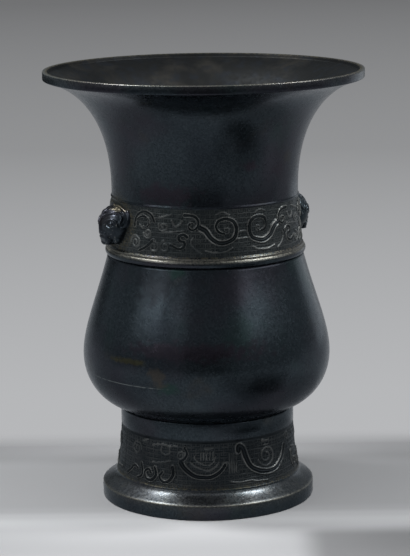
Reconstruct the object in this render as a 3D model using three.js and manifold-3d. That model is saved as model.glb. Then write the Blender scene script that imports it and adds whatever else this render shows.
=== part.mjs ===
// A cast bronze baluster vase, made in three sections that lap inside one another and are soldered. An animal
// mask is riveted to each side of its neck, and a round plate closes the foot from below.
// Millimetres, +Z up. The origin is the centre of the face that the foot stands on. The masks lie on the X axis.
import * as THREE from 'three';
import { mergeVertices } from 'three/addons/utils/BufferGeometryUtils.js';
import Module from 'manifold-3d';

const wasm = await Module();
wasm.setup();

// Heights of the vase's stages, from the floor to the lip
const footRingHeight = 9.5;
const footShoulderHeight = 7.6;
const footBandHeight = 32.1;
const collarHeight = 10.8;
const bellyNeckHeight = 1.7;
const underBellyHeight = 33.8;
const upperBellyHeight = 65.8;
const lowerRidgeHeight = 5;
const upperRidgeHeight = 1.8;
const neckBandHeight = 30.6;
const throatHeight = 4.6;
const flareHeight = 71.2;
const lipHeight = 5.5;

// Outer radii at those stages
const footRingRadius = 69.6;
const footBandBottomRadius = 60.2;
const footBandTopRadius = 56.6;
const collarRadius = 56.6;
const bellyNeckRadius = 56.2;
const bellyRadius = 80.8;
const bellyTopRadius = 63.4;
const lipRadius = 103.4;

// How far the neck's ribs stand out from the belly's top, and how far its wall steps in from stage to stage
const lowerRidgeProud = 1.6;
const upperRidgeProud = 0.3;
const neckBandStep = 0.9;
const neckBandTaper = 2;
const throatStep = 0.3;

// Walls, laps and the seats between the pieces
const wall = 4;
const footRingWidth = 9.6;
const edgeRadius = 0.8;
const lipLand = 3.2;
const ridgeSeatWidth = 2.4;
const spigotWall = 4.2;
const neckLap = 11.5;
const footLap = 10.5;
const basePlateThickness = 3.2;
const basePlateRecess = 8.6;
const solderLeg = 2.4;
const clearance = 0.3;

// Animal masks and the rivets that hold them
const maskWidth = 39;
const maskHeight = 25.8;
const maskDepth = 10.2;
const maskDrop = 15;
const maskRidgeRadius = 0.9;
const hornRadius = 1.2;
const muzzleWidth = 10.4;
const muzzleRounding = 1.5;
const rivetRadius = 2.2;
const rivetHeadRadius = 4.4;
const rivetHeadHeight = 2.2;
const rivetGrip = 3.4;

const latheSegments = 38;

// Levels where one stage ends and the next begins
const footShoulderZ = footRingHeight;
const footBandZ = footShoulderZ + footShoulderHeight;
const collarZ = footBandZ + footBandHeight;
const bodyZ = collarZ + collarHeight;
const underBellyZ = bodyZ + bellyNeckHeight;
const bellyZ = underBellyZ + underBellyHeight;
const ridgeZ = bellyZ + upperBellyHeight;
const upperRidgeZ = ridgeZ + lowerRidgeHeight;
const neckBandZ = upperRidgeZ + upperRidgeHeight;
const throatZ = neckBandZ + neckBandHeight;
const flareZ = throatZ + throatHeight;
const lipZ = flareZ + flareHeight;
const height = lipZ + lipHeight;
const maskZ = throatZ - maskDrop;

// Radii above the belly, each worked out from the one below it
const lowerRidgeRadius = bellyTopRadius + lowerRidgeProud;
const upperRidgeRadius = bellyTopRadius + upperRidgeProud;
const neckBandBottomRadius = bellyTopRadius - neckBandStep;
const neckBandTopRadius = neckBandBottomRadius - neckBandTaper;
const throatRadius = neckBandTopRadius - throatStep;

const bronze = new THREE.MeshStandardMaterial({ color: 0x1e1b1b, roughness: 0.42, metalness: 0.8 });
const maskBronze = new THREE.MeshStandardMaterial({ color: 0x26231f, roughness: 0.45, metalness: 0.8 });
const plateBronze = new THREE.MeshStandardMaterial({ color: 0x2b2620, roughness: 0.6, metalness: 0.7 });
const solder = new THREE.MeshStandardMaterial({ color: 0x4c4b48, roughness: 0.6, metalness: 0.6 });

// Outlines: lists of points [radius, height] from which a stage is turned
const point = (radius, z) => new THREE.Vector2(radius, z);

function bend(start, handle, end, steps) {
  return new THREE.QuadraticBezierCurve(start, handle, end).getPoints(steps);
}

function sweep(start, startHandle, endHandle, end, steps) {
  return new THREE.CubicBezierCurve(start, startHandle, endHandle, end).getPoints(steps);
}

// A half-round rib standing on the wall between two heights
function rib(wallBelow, wallAbove, ribRadius, bottom, top, steps) {
  const middle = (bottom + top) / 2;
  return Array.from({ length: steps + 1 }, (_, i) => {
    const angle = -Math.PI / 2 + (Math.PI * i) / steps;
    const wallHere = angle < 0 ? wallBelow : wallAbove;
    return point(wallHere + (ribRadius - wallHere) * Math.cos(angle),
      middle + ((top - bottom) / 2) * Math.sin(angle));
  });
}

// The same outline moved towards the axis by one wall's thickness
function inset(outline, distance) {
  return outline.map((here, i) => {
    const before = outline[Math.max(i - 1, 0)];
    const after = outline[Math.min(i + 1, outline.length - 1)];
    const along = after.clone().sub(before).normalize();
    return point(here.x - along.y * distance, here.y + along.x * distance);
  });
}

// The radius of an outline at a height that lies within it
function radiusAt(outline, z) {
  const i = Math.max(1, outline.findIndex((p) => p.y >= z));
  const share = (z - outline[i - 1].y) / (outline[i].y - outline[i - 1].y);
  return outline[i - 1].x + share * (outline[i].x - outline[i - 1].x);
}

function revolve(outline) {
  return new THREE.LatheGeometry([...outline, outline[0]], latheSegments).rotateX(Math.PI / 2);
}

// Solids for joining and cutting, and back again
function solid(geometry) {
  const bare = geometry.index ? geometry.toNonIndexed() : geometry.clone();
  bare.deleteAttribute('normal');
  bare.deleteAttribute('uv');
  const merged = mergeVertices(bare, 1e-4);
  return new wasm.Manifold(new wasm.Mesh({
    numProp: 3,
    vertProperties: new Float32Array(merged.attributes.position.array),
    triVerts: new Uint32Array(merged.index.array),
  }));
}

function geometryOf(manifold) {
  const mesh = manifold.getMesh();
  const geometry = new THREE.BufferGeometry();
  geometry.setAttribute('position', new THREE.BufferAttribute(mesh.vertProperties, 3));
  geometry.setIndex(new THREE.BufferAttribute(mesh.triVerts, 1));
  const faceted = geometry.toNonIndexed();
  faceted.computeVertexNormals();
  return faceted;
}

// Foot: base ring, rounded shoulder, hollowing band and plain collar
const footBandOutline = bend(point(footBandBottomRadius, footBandZ),
  point(footBandTopRadius + 1, footBandZ + footBandHeight / 4), point(footBandTopRadius, collarZ), 6);
const footOutline = [
  point(footRingRadius - edgeRadius, 0),
  point(footRingRadius - edgeRadius / 3, edgeRadius / 3),
  ...bend(point(footRingRadius, footShoulderZ),
    point(footBandBottomRadius - 1, footBandZ - 0.24 * footShoulderHeight), point(footBandBottomRadius, footBandZ), 5),
  ...footBandOutline.slice(1),
  point(collarRadius, collarZ + 0.6),
  point(collarRadius, bodyZ),
];
const footBore = footBandTopRadius - wall;
const basePlateSeatRadius = footRingRadius - footRingWidth;
const basePlateTopZ = basePlateRecess + basePlateThickness;
const footSeatZ = basePlateTopZ + clearance;
const footWall = [
  point(footBore, bodyZ),
  point(footBore, collarZ),
  ...inset(footBandOutline, wall).slice(1, -1).reverse(),
  point(footBandBottomRadius - wall, footSeatZ),
  point(basePlateSeatRadius, footSeatZ),
  point(basePlateSeatRadius, 0),
];
const footGeometry = revolve([...footOutline, ...footWall]);

// Base plate: a disc that enters the foot from below and stops against the ledge above it
const basePlateRadius = basePlateSeatRadius - clearance;
const basePlateGeometry = revolve([
  point(0, basePlateRecess),
  point(basePlateRadius, basePlateRecess),
  point(basePlateRadius, basePlateTopZ),
  point(0, basePlateTopZ),
]);

// Body: the belly between two spigots
const underBelly = sweep(point(bellyNeckRadius, underBellyZ),
  point(bellyNeckRadius + 0.31 * (bellyRadius - bellyNeckRadius), underBellyZ + 0.5),
  point(bellyRadius, underBellyZ + 0.33 * underBellyHeight), point(bellyRadius, bellyZ), 8);
const upperBelly = sweep(point(bellyRadius, bellyZ), point(bellyRadius, bellyZ + 0.26 * upperBellyHeight),
  point(bellyTopRadius + 0.41 * (bellyRadius - bellyTopRadius), ridgeZ - 0.42 * upperBellyHeight),
  point(bellyTopRadius, ridgeZ), 7);
const footSpigotRadius = footBore - clearance;
const footSpigotBore = footSpigotRadius - spigotWall;
const footSpigotZ = bodyZ + clearance - footLap;
const neckSocketRadius = bellyTopRadius - ridgeSeatWidth;
const neckSpigotRadius = neckSocketRadius - clearance;
const neckSpigotBore = neckSpigotRadius - spigotWall;
const neckSpigotZ = ridgeZ + neckLap;
const bellyOutline = [...underBelly, ...upperBelly.slice(1)];
const bellyWall = inset(bellyOutline, wall).filter((p) => p.x > footSpigotBore).slice(1, -1).reverse();
const bodyGeometry = revolve([
  point(footSpigotBore, footSpigotZ),
  point(footSpigotRadius, footSpigotZ),
  point(footSpigotRadius, bodyZ + clearance),
  point(bellyNeckRadius, bodyZ + clearance),
  ...bellyOutline,
  point(neckSpigotRadius, ridgeZ),
  point(neckSpigotRadius, neckSpigotZ),
  point(neckSpigotBore, neckSpigotZ),
  ...bellyWall,
  point(footSpigotBore, underBellyZ + wall),
]);

// Mouth and neck: double rib, tapering relief band, throat and wide flare to the lip
const neckBandOutline = [point(neckBandBottomRadius, neckBandZ), point(neckBandTopRadius, throatZ)];
const flare = sweep(point(throatRadius, flareZ), point(throatRadius, flareZ + 0.58 * flareHeight),
  point(throatRadius + 0.41 * (lipRadius - throatRadius), flareZ + 0.92 * flareHeight), point(lipRadius, lipZ), 10);
const neckOutline = [
  ...rib(bellyTopRadius, bellyTopRadius, lowerRidgeRadius, ridgeZ + clearance, upperRidgeZ, 4),
  ...rib(bellyTopRadius, neckBandBottomRadius, upperRidgeRadius, upperRidgeZ, neckBandZ, 4).slice(1),
  ...neckBandOutline.slice(1),
  point(throatRadius, throatZ + 0.5),
  ...flare,
  point(lipRadius, height - edgeRadius),
  point(lipRadius - edgeRadius, height),
];
const neckSeatZ = neckSpigotZ + clearance;
const neckBandWall = inset(neckBandOutline, wall);
const neckWall = [
  point(lipRadius - lipLand, height),
  ...inset(flare, wall).slice(0, -1).reverse(),
  neckBandWall[1],
  point(radiusAt(neckBandWall, neckSeatZ), neckSeatZ),
  point(neckSocketRadius, neckSeatZ),
  point(neckSocketRadius, ridgeZ + clearance),
];
const maskWallRadius = radiusAt(neckBandOutline, maskZ);
const maskBoreRadius = radiusAt(neckBandWall, maskZ);

function rivetBar(radius, from, to) {
  const bar = new THREE.CylinderGeometry(radius, radius, to - from, 12);
  return solid(bar.rotateZ(-Math.PI / 2).translate((from + to) / 2, 0, maskZ));
}

const rivetHole = rivetBar(rivetRadius + clearance, maskBoreRadius - wall,
  maskWallRadius + rivetGrip + clearance);
const neckGeometry = geometryOf(solid(revolve([...neckOutline, ...neckWall]))
  .subtract(rivetHole)
  .subtract(rivetHole.rotate([0, 0, 180])));

// Solder: a fillet in the corner of each lap
function fillet(radius, z, legIn, legUp) {
  return revolve(legIn * legUp > 0
    ? [point(radius - legIn, z), point(radius, z), point(radius, z + legUp)]
    : [point(radius, z), point(radius - legIn, z), point(radius, z + legUp)]);
}
const neckSeamZ = neckSpigotZ + clearance;
const neckSeamRadius = radiusAt(neckBandWall, neckSeamZ + solderLeg) - clearance;
const neckSeamGeometry = fillet(neckSeamRadius, neckSeamZ, neckSeamRadius - neckSpigotBore, solderLeg);
const footSeamGeometry = fillet(footSpigotRadius, footSpigotZ - clearance, solderLeg, -solderLeg);
const basePlateSeamGeometry = fillet(basePlateRadius, basePlateRecess - clearance, solderLeg, -solderLeg);

// Mask: an animal's head in high relief, modelled flat, bent round the neck and cut to its wall
// A place on it is given in shares of its half width across, of its half height up and of its depth out.
function maskPlace([across, up, out]) {
  return new THREE.Vector3(out * maskDepth, (across * maskWidth) / 2, (up * maskHeight) / 2);
}

function onNeck(geometry) {
  const places = geometry.attributes.position;
  for (let i = 0; i < places.count; i++) {
    const turn = places.getY(i) / maskWallRadius;
    const z = maskZ + places.getZ(i);
    const reach = radiusAt(neckBandOutline, z) + places.getX(i);
    places.setXYZ(i, reach * Math.cos(turn), reach * Math.sin(turn), z);
  }
  return solid(geometry);
}

function boss(place, [halfWidth, halfHeight, depth], sides = 8) {
  const centre = maskPlace(place);
  return onNeck(new THREE.SphereGeometry(1, sides, Math.round(sides * 0.6))
    .scale(depth * maskDepth, (halfWidth * maskWidth) / 2, (halfHeight * maskHeight) / 2)
    .translate(centre.x, centre.y, centre.z));
}

function cord(places, radius) {
  const section = new THREE.Shape().absarc(0, 0, radius, 0, 2 * Math.PI);
  return onNeck(new THREE.ExtrudeGeometry(section, {
    steps: places.length,
    curveSegments: 3,
    bevelEnabled: false,
    extrudePath: new THREE.CatmullRomCurve3(places.map(maskPlace)),
  }));
}

const mirrored = ([across, ...rest]) => [-across, ...rest];

function bothSides(place, size) {
  return [boss(place, size), boss(mirrored(place), size)];
}

function bothCords(places, radius) {
  return [cord(places, radius), cord(places.map(mirrored), radius)];
}

const skull = { up: -0.01, halfWidth: 0.73, halfHeight: 0.91, depth: 1.02 };
const skullSides = 14;
const wallLift = 0.08;

// A place on the skull's dome, or a little over the neck's wall beyond it
function onSkull([across, up]) {
  const left = 1 - (across / skull.halfWidth) ** 2 - ((up - skull.up) / skull.halfHeight) ** 2;
  return [across, up, Math.max(wallLift, skull.depth * Math.sqrt(Math.max(0, left)))];
}

// The muzzle: its side outline extruded across the face, with rounded corners
const muzzleOutline = [[-0.2, 0.1], [0.8, 0.1], [0.94, -0.38], [0.87, -0.64], [0.81, -0.84], [0.68, -0.97],
  [-0.2, -0.95]];
const muzzleSide = new THREE.Shape(muzzleOutline.map(([out, up]) => {
  const place = maskPlace([0, up, out]);
  return point(place.x, place.z);
}));
const muzzleFlat = muzzleWidth - 2 * muzzleRounding;
const muzzle = new THREE.ExtrudeGeometry(muzzleSide, {
  depth: muzzleFlat,
  bevelThickness: muzzleRounding,
  bevelSize: muzzleRounding,
  bevelOffset: -muzzleRounding,
  bevelSegments: 1,
}).rotateX(Math.PI / 2).translate(0, muzzleFlat / 2, 0);

const crest = [[0, 0.88, 0.3], [0, 0.72, 0.7], [0, 0.4, 0.97], [0, 0.1, 1.04], [0, -0.3, 0.99]];
const innerArc = [[0.05, 0.46], [0.23, 0.6], [0.38, 0.66], [0.53, 0.6], [0.64, 0.42], [0.66, 0.2]];
const outerArc = [[0.05, 0.69], [0.24, 0.79], [0.43, 0.77], [0.61, 0.64], [0.72, 0.42], [0.72, 0.18]];
const eyelid = [[0.22, 0.15], [0.31, 0.31], [0.45, 0.36], [0.58, 0.27], [0.62, 0.08]];
const horn = [[0.04, 0.9, 0.06], [0.26, 0.92, 0.05], [0.46, 0.87, 0.04], [0.67, 0.76, 0.03], [0.84, 0.54, 0.04],
  [0.89, 0.32, 0.07], [0.8, 0.08, 0.16], [0.65, -0.04, 0.3], [0.56, 0.04, 0.46]];
const mouth = [[0, -0.62, 0.9], [0.16, -0.6, 0.88], [0.27, -0.62, 0.74], [0.28, -0.7, 0.5]];
const maskForms = [
  boss([0, skull.up, 0], [skull.halfWidth, skull.halfHeight, skull.depth], skullSides),
  onNeck(muzzle),
  boss([0, -0.38, 0.92], [0.2, 0.12, 0.14]),
  ...bothSides([0.33, -0.4, 0.12], [0.22, 0.54, 0.46]),
  ...bothSides([0.74, 0.42, 0], [0.22, 0.46, 0.2]),
  ...bothSides([0.43, 0.14, 0.74], [0.09, 0.12, 0.17]),
  cord(crest, maskRidgeRadius),
  ...bothCords(innerArc.map(onSkull), maskRidgeRadius),
  ...bothCords(outerArc.map(onSkull), maskRidgeRadius),
  ...bothCords(eyelid.map(onSkull), maskRidgeRadius),
  ...bothCords(horn, hornRadius),
  ...bothCords(mouth, maskRidgeRadius),
];
const neckBandCore = solid(revolve([
  point(0, neckBandZ - maskHeight),
  point(neckBandBottomRadius + clearance + (maskHeight * neckBandTaper) / neckBandHeight,
    neckBandZ - maskHeight),
  point(neckBandTopRadius + clearance, throatZ),
  point(0, throatZ),
]));
const maskSolid = wasm.Manifold.union(maskForms).subtract(neckBandCore).subtract(rivetHole);
const maskGeometry = geometryOf(maskSolid);

// Rivet: a shank through the neck wall into the mask, with a domed head that lies on the wall inside
const rivetHeadBall = new THREE.SphereGeometry(1, 12, 8)
  .scale(rivetHeadHeight, rivetHeadRadius, rivetHeadRadius)
  .translate(maskBoreRadius - clearance, 0, maskZ);
const neckHollow = solid(revolve([
  point(0, neckSeatZ),
  point(radiusAt(neckBandWall, neckSeatZ) - clearance, neckSeatZ),
  point(radiusAt(neckBandWall, neckBandWall[1].y) - clearance, neckBandWall[1].y),
  point(0, neckBandWall[1].y),
]));
const rivetSolid = solid(rivetHeadBall).intersect(neckHollow)
  .add(rivetBar(rivetRadius, maskBoreRadius - rivetHeadHeight, maskWallRadius + rivetGrip));
const rivetGeometry = geometryOf(rivetSolid);

const vase = new THREE.Group();

function place(name, geometry, material, turn = 0) {
  const piece = new THREE.Mesh(geometry, material);
  piece.name = name;
  piece.rotation.z = turn;
  vase.add(piece);
}

place('mouth_and_neck', neckGeometry, bronze);
place('body', bodyGeometry, bronze);
place('foot', footGeometry, bronze);
place('base_plate', basePlateGeometry, plateBronze);
place('left_mask', maskGeometry, maskBronze, Math.PI);
place('right_mask', maskGeometry, maskBronze);
place('left_mask_rivet', rivetGeometry, plateBronze, Math.PI);
place('right_mask_rivet', rivetGeometry, plateBronze);
place('neck_solder_seam', neckSeamGeometry, solder);
place('foot_solder_seam', footSeamGeometry, solder);
place('base_plate_solder_seam', basePlateSeamGeometry, solder);

export default vase;
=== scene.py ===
# A cast bronze baluster vase with two bands of relief and an animal mask on each side of its neck.
# Metres, +Z up. The origin is the centre of the face that the foot stands on. The masks lie on the X axis.
from math import atan2, cos, degrees, hypot, pi, radians, sin, sqrt

import bmesh
import bpy
from mathutils import Matrix, Vector, kdtree, noise
from mathutils.geometry import interpolate_bezier


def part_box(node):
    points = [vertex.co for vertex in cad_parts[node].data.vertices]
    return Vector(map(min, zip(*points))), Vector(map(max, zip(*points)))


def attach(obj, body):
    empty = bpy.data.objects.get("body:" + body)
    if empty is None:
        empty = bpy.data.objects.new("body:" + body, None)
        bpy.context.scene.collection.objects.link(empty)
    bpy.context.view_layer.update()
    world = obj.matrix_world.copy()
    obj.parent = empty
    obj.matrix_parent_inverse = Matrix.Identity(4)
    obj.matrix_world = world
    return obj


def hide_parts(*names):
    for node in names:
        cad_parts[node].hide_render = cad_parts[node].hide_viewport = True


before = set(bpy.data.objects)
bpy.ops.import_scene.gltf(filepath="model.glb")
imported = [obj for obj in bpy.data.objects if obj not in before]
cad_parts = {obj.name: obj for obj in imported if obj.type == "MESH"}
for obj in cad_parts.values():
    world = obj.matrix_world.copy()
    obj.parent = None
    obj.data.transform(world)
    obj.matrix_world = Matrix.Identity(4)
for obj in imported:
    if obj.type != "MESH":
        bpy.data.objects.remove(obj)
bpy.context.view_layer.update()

mm = 0.001

# Camera
# It stands a little above the lip and 1.4 m away, and the vase is turned so that its left mask shows.
photo_angle = radians(-22.3)
photo_turn = Matrix.Rotation(photo_angle, 4, "Z")
camera_place = Vector((-0.5, -1413.8, 425.7)) * mm
camera_pitch = radians(11.3)
camera_roll = radians(0.66)
camera_data = bpy.data.cameras.new("camera")
camera_data.sensor_fit = "VERTICAL"
camera_data.sensor_height = 36
camera_data.lens = 143.3
camera = bpy.data.objects.new("camera", camera_data)
camera.matrix_world = (photo_turn @ Matrix.Translation(camera_place)
                       @ Matrix.Rotation(pi / 2 - camera_pitch, 4, "X")
                       @ Matrix.Rotation(-camera_roll, 4, "Z"))
bpy.context.collection.objects.link(camera)
bpy.context.scene.camera = camera
bpy.context.scene.view_settings.view_transform = "Standard"


# Studio
# A pale table top runs back into a grey backdrop. Soft boxes light both sides, and black cards that only
# reflections see keep the front dark. Something dark is out of the picture at the front right: its shadow is
# painted into the table's colour there, and a darker patch painted for reflections only lets the vase mirror
# it.
table_reach = 6
table_front = -0.16
table_edge = 0.13
backdrop_start = table_edge - 0.02
backdrop_full = table_edge + 0.006
backdrop_end = 4.4
# The table's greys from its front edge back are painted light and shade: lighter towards the front, with a
# darker band before the back edge, as the light falls across it.
painted_table_shading = [(0, 0.26), (0.12, 0.269), (0.25, 0.307), (0.32, 0.353), (0.36, 0.319), (0.4, 0.265),
                (0.44, 0.25), (0.75, 0.248), (0.84, 0.202), (0.93, 0.186)]
backdrop_shades = [(0, 0.45), (0.003, 0.477), (0.03, 0.472), (0.12, 0.42), (0.35, 0.285), (1, 0.167)]
cool_grey = (0.987, 1, 1.025)
black = (0, 0, 0)
room_light = (0.2, 0.21, 0.22)
shaded_share = 0.45
mirrored_share = 0.85
aim_height = 0.12


def shader_node(tree, kind, **values):
    """Adds a node. Each value is a setting of it or, with underscores for blanks, one of its sockets."""
    node = tree.nodes.new(kind)
    for key, value in values.items():
        if hasattr(node, key):
            setattr(node, key, value)
        else:
            node.inputs[key.replace("_", " ")].default_value = value
    return node


def vector_node(tree, kind, vector, **values):
    """Adds a node that works on a vector."""
    node = shader_node(tree, kind, **values)
    tree.links.new(vector, node.inputs["Vector"])
    return node


def arithmetic(tree, operation, *values):
    """A math node over sockets and numbers."""
    node = shader_node(tree, "ShaderNodeMath", operation=operation)
    for socket, source in zip(node.inputs, values):
        if isinstance(source, (int, float)):
            socket.default_value = source
        else:
            tree.links.new(source, socket)
    return node.outputs[0]


def mapped(tree, source, from_min, from_max, to_min=0.0, to_max=1.0, kind="LINEAR"):
    """Moves one range of values onto another."""
    node = shader_node(tree, "ShaderNodeMapRange", interpolation_type=kind, From_Min=from_min,
                       From_Max=from_max, To_Min=to_min, To_Max=to_max)
    tree.links.new(source, node.inputs["Value"])
    return node.outputs["Result"]


def tint(tree, below, above, *shares):
    """Lays a colour over another one by the product of its shares. A colour is three values or a socket."""
    mix = shader_node(tree, "ShaderNodeMix", data_type="RGBA")
    share = shares[0] if len(shares) == 1 else arithmetic(tree, "MULTIPLY", *shares)
    tree.links.new(share, mix.inputs[0])
    for socket, colour in zip(mix.inputs[6:8], (below, above)):
        if isinstance(colour, tuple):
            socket.default_value = (*colour, 1)
        else:
            tree.links.new(colour, socket)
    return mix.outputs[2]


def ramp(tree, source, shades, interpolation="EASE"):
    """A colour ramp over stops of (place, grey), each grey a little towards blue."""
    node = shader_node(tree, "ShaderNodeValToRGB")
    node.color_ramp.interpolation = interpolation
    while len(node.color_ramp.elements) < len(shades):
        node.color_ramp.elements.new(1)
    for element, (place, shade) in zip(node.color_ramp.elements, shades):
        element.position = place
        element.color = (*(shade * part for part in cool_grey), 1)
    tree.links.new(source, node.inputs["Fac"])
    return node.outputs["Color"]


def soft_patch(tree, coords, middle, turn, half_size, softness):
    """From 1 inside a turned rectangle on the table to 0 outside it."""
    laid = vector_node(tree, "ShaderNodeMapping", coords, vector_type="TEXTURE", Location=(*middle, 0),
                       Rotation=(0, 0, radians(turn)))
    sides = vector_node(tree, "ShaderNodeSeparateXYZ", laid.outputs["Vector"])
    within = []
    for side, half in zip(("X", "Y"), half_size):
        reach = arithmetic(tree, "ABSOLUTE", sides.outputs[side])
        within.append(mapped(tree, reach, half + softness, half - softness, kind="SMOOTHSTEP"))
    return arithmetic(tree, "MULTIPLY", *within)


floor_mesh = bmesh.new()
bmesh.ops.create_circle(floor_mesh, cap_ends=True, segments=96, radius=table_reach)
floor_data = bpy.data.meshes.new("table_top")
floor_mesh.to_mesh(floor_data)
floor_mesh.free()
floor = bpy.data.objects.new("table_top", floor_data)
bpy.context.collection.objects.link(floor)

floor_material = bpy.data.materials.new("pale_table")
floor_material.use_nodes = True
tree = floor_material.node_tree
tree.nodes.clear()
coords = shader_node(tree, "ShaderNodeTexCoord").outputs["Object"]
turned = vector_node(tree, "ShaderNodeMapping", coords, Rotation=(0, 0, -photo_angle)).outputs["Vector"]
depth = vector_node(tree, "ShaderNodeSeparateXYZ", turned).outputs["Y"]
rays = shader_node(tree, "ShaderNodeLightPath")
# A painted shadow on the table, and a dark patch painted for reflections only.
shaded = soft_patch(tree, turned, middle=(0.262, -0.29), turn=0, half_size=(0.2, 0.2), softness=0.012)
mirrored_dark_patch = soft_patch(tree, turned, middle=(0.205, -0.178), turn=-33, half_size=(0.112, 0.06),
                        softness=0.018)
in_mirror = arithmetic(tree, "MULTIPLY", mirrored_dark_patch, rays.outputs["Is Glossy Ray"])
table_colour = ramp(tree, mapped(tree, depth, table_front, table_edge), painted_table_shading)
table_colour = tint(tree, table_colour, black, shaded, shaded_share)
table_colour = tint(tree, table_colour, black, in_mirror, mirrored_share)
diffuse = shader_node(tree, "ShaderNodeBsdfDiffuse")
tree.links.new(table_colour, diffuse.inputs["Color"])
backdrop_colour = ramp(tree, mapped(tree, depth, table_edge, backdrop_end), backdrop_shades, "LINEAR")
glow = shader_node(tree, "ShaderNodeEmission")
tree.links.new(backdrop_colour, glow.inputs["Color"])
seen = arithmetic(tree, "MAXIMUM", rays.outputs["Is Camera Ray"], rays.outputs["Is Glossy Ray"])
beyond = arithmetic(tree, "MULTIPLY", seen, mapped(tree, depth, backdrop_start, backdrop_full))
mixed = shader_node(tree, "ShaderNodeMixShader")
output = shader_node(tree, "ShaderNodeOutputMaterial")
tree.links.new(beyond, mixed.inputs[0])
tree.links.new(diffuse.outputs[0], mixed.inputs[1])
tree.links.new(glow.outputs[0], mixed.inputs[2])
tree.links.new(mixed.outputs[0], output.inputs["Surface"])
floor_data.materials.append(floor_material)

world = bpy.data.worlds.new("studio")
world.use_nodes = True
world.node_tree.nodes["Background"].inputs["Color"].default_value = (*room_light, 1)
bpy.context.scene.world = world

card_material = bpy.data.materials.new("black_cloth")
card_material.use_nodes = True
card_shader = card_material.node_tree.nodes["Principled BSDF"]
card_shader.inputs["Base Color"].default_value = (0.01, 0.01, 0.01, 1)
card_shader.inputs["Roughness"].default_value = 0.9


def towards(turn, rise, distance):
    """A place seen from the vase's belly, turned from the camera's side and raised, in degrees."""
    flat = distance * cos(radians(rise))
    height = distance * sin(radians(rise)) + aim_height
    return photo_turn @ Vector((flat * sin(radians(turn)), -flat * cos(radians(turn)), height))


def soft_box(name, turn, rise, distance, width, tall, power):
    """A lamp that faces the vase's belly."""
    lamp = bpy.data.lights.new(name, "AREA")
    lamp.shape = "RECTANGLE"
    lamp.size = width
    lamp.size_y = tall
    lamp.energy = power
    stand = bpy.data.objects.new(name, lamp)
    stand.location = towards(turn, rise, distance)
    stand.rotation_euler = (Vector((0, 0, aim_height)) - stand.location).to_track_quat("-Z", "Y").to_euler()
    bpy.context.collection.objects.link(stand)


def black_card(name, turn, rise, distance, width, tall):
    """A card that only reflections see."""
    card = bmesh.new()
    bmesh.ops.create_grid(card, x_segments=1, y_segments=1, size=0.5)
    bmesh.ops.scale(card, vec=(width, tall, 1), verts=card.verts)
    spot = towards(turn, rise, distance)
    facing = (Vector((0, 0, aim_height)) - spot).to_track_quat("Z", "Y").to_matrix().to_4x4()
    bmesh.ops.transform(card, matrix=Matrix.Translation(spot) @ facing, verts=card.verts)
    data = bpy.data.meshes.new(name)
    card.to_mesh(data)
    card.free()
    data.materials.append(card_material)
    piece = bpy.data.objects.new(name, data)
    piece.visible_camera = False
    piece.visible_diffuse = False
    piece.visible_shadow = False
    bpy.context.collection.objects.link(piece)


# Each has its turn and rise in degrees, its distance, width and height in metres, and a lamp also its watts.
black_card("front_card", 0, 3, 0.8, 0.6, 0.34)
black_card("left_back_card", -142, 5, 0.7, 0.5, 0.15)
soft_box("left_soft_box", -61, 29, 1.3, 0.62, 0.5, 2.8)
soft_box("right_soft_box", 72, 29, 1.4, 1.2, 0.5, 3.8)
soft_box("right_front_soft_box", 43, 27, 1.4, 0.24, 0.4, 0.5)
soft_box("overhead_soft_box", 0, 76, 1.3, 1, 0.45, 3.4)
soft_box("left_front_soft_box", -36, 29, 1.3, 0.6, 0.5, 0.7)
soft_box("left_top_soft_box", -96, 61, 1.3, 0.3, 0.3, 23)
soft_box("right_top_soft_box", 90, 57, 1.3, 0.3, 0.3, 16)
soft_box("right_back_soft_box", 138, 2, 1.2, 0.6, 0.4, 0.42)


# Patina
# Every casting has it: a thin blue-black skin that shows the metal's sheen, cloudy with purple and green. It
# is rubbed to the metal on the crests of its relief, and dark or ochre with dirt and wax in the hollows. The
# light crests also carry painted highlight, and the dark hollows painted shade.
skin = (0.0185, 0.026, 0.032)
light_skin = (0.044, 0.057, 0.067)
plum_skin = (0.029, 0.026, 0.035)
green_skin = (0.018, 0.037, 0.035)
brown_skin = (0.036, 0.033, 0.028)
dark_skin = (0.009, 0.012, 0.018)
rubbed_bronze_and_highlight = (0.25, 0.255, 0.245)
polished_skin = (0.06, 0.064, 0.066)
ridge_wear_and_highlight = (0.19, 0.183, 0.152)
black_dirt_and_shade = (0.003, 0.004, 0.0055)
ochre_dirt = (0.1, 0.088, 0.055)
inside_skin = (0.0022, 0.0024, 0.0023)
inside_bloom = (0.0125, 0.0115, 0.0095)

# The skin's clouds have a scale, a noise that they start and are full at, a seed, a share and a colour.
skin_clouds = [
    (17, 0.46, 0.66, 0, 0.75, plum_skin),
    (30, 0.55, 0.72, 3, 0.5, green_skin),
    (41, 0.58, 0.74, 9, 0.5, brown_skin),
    (22, 0.5, 0.72, 7, 0.5, dark_skin),
]


def noise_clouds(tree, coords, scale, low, high, detail, seed=0.0):
    """Soft patches from 0 to 1."""
    cloud = vector_node(tree, "ShaderNodeTexNoise", coords, noise_dimensions="4D", W=seed, Scale=scale,
                        Detail=detail)
    return mapped(tree, cloud.outputs["Fac"], low, high, kind="SMOOTHSTEP")


def stain_or_painted_light(tree, coords, middle, size, tilt):
    """A ragged spot, its place and half sizes in mm across, deep and up as the camera sees the vase."""
    ragged = vector_node(tree, "ShaderNodeTexNoise", coords, Scale=240, Detail=6)
    laid = vector_node(tree, "ShaderNodeMapping", coords, vector_type="TEXTURE",
                       Location=photo_turn @ Vector(middle) * mm, Rotation=(0, radians(tilt), photo_angle),
                       Scale=Vector(size) * mm)
    reach = vector_node(tree, "ShaderNodeVectorMath", laid.outputs["Vector"], operation="LENGTH")
    total = arithmetic(tree, "MULTIPLY_ADD", ragged.outputs["Fac"], 1.8, reach.outputs["Value"])
    return mapped(tree, total, 1.9, 1.2, kind="SMOOTHSTEP")


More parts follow.
